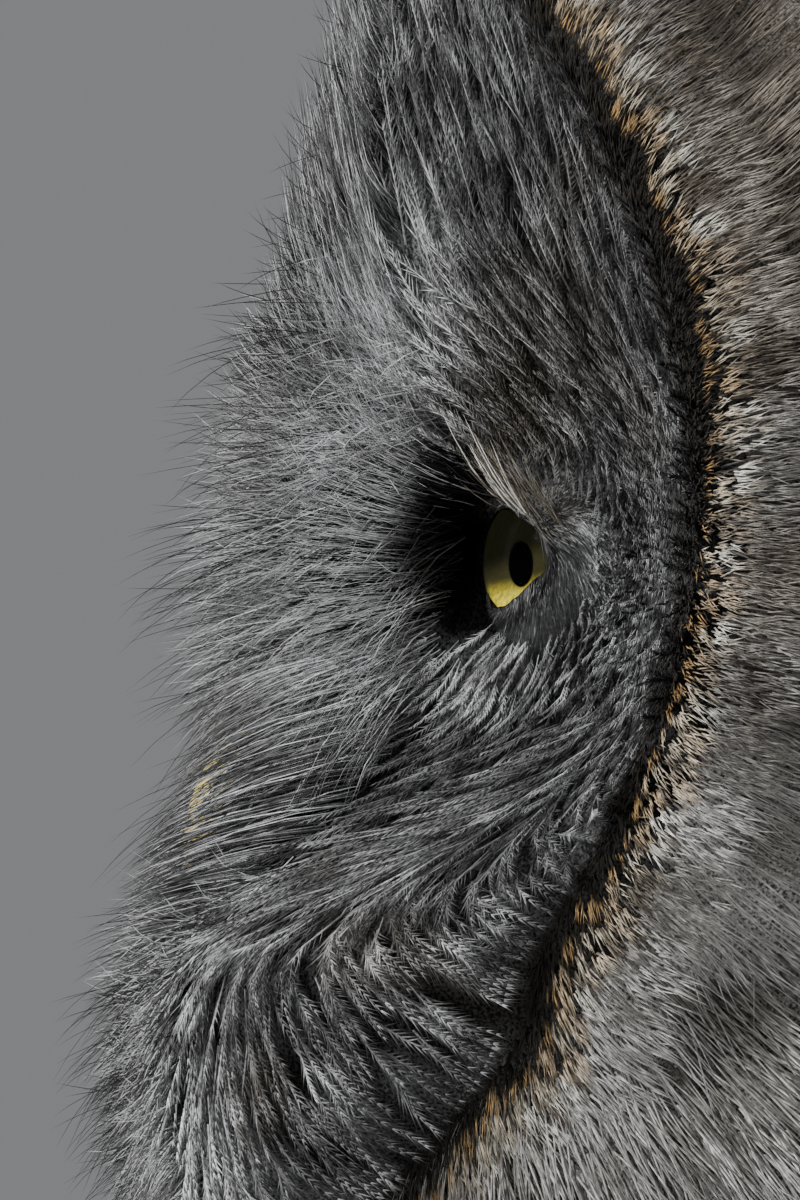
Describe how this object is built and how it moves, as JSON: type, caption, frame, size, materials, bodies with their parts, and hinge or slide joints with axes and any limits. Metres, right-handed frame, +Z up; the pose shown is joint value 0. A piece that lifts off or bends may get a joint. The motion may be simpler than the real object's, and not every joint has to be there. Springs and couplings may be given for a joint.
{
  "type": "great grey owl",
  "caption": "Great grey owl standing on the floor with folded wings, its large round facial disc facing forwards.",
  "frame": {"origin": "on the floor, under the middle of the owl's bounding box", "axes": "+Z up, -Y the way the owl faces, +X towards its left side"},
  "size_m": [0.2365, 0.4276, 0.532],
  "materials": {
    "face_plumage": "soft, barred grey feathers",
    "body_plumage": "soft, mottled grey-brown feathers",
    "wing_plumage": "barred grey-brown flight feathers",
    "leg_plumage": "short, downy feathers",
    "claws": "smooth dark horn",
    "eyes": "wet, yellow iris behind a clear bulge",
    "bill": "smooth yellowish horn"
  },
  "bodies": {
    "root": {"head": "face_plumage", "neck": "body_plumage", "torso": "body_plumage", "wing_left": "wing_plumage", "wing_right": "wing_plumage", "tail": "wing_plumage", "leg_left": "leg_plumage", "leg_right": "leg_plumage", "foot_left": "leg_plumage", "foot_right": "leg_plumage", "claw_inner_left": "claws", "claw_middle_left": "claws", "claw_outer_left": "claws", "claw_hind_left": "claws", "claw_inner_right": "claws", "claw_middle_right": "claws", "claw_outer_right": "claws", "claw_hind_right": "claws", "eye_left": "eyes", "eye_right": "eyes", "bill_upper": "bill", "bill_lower": "bill"}
  },
  "joints": []
}
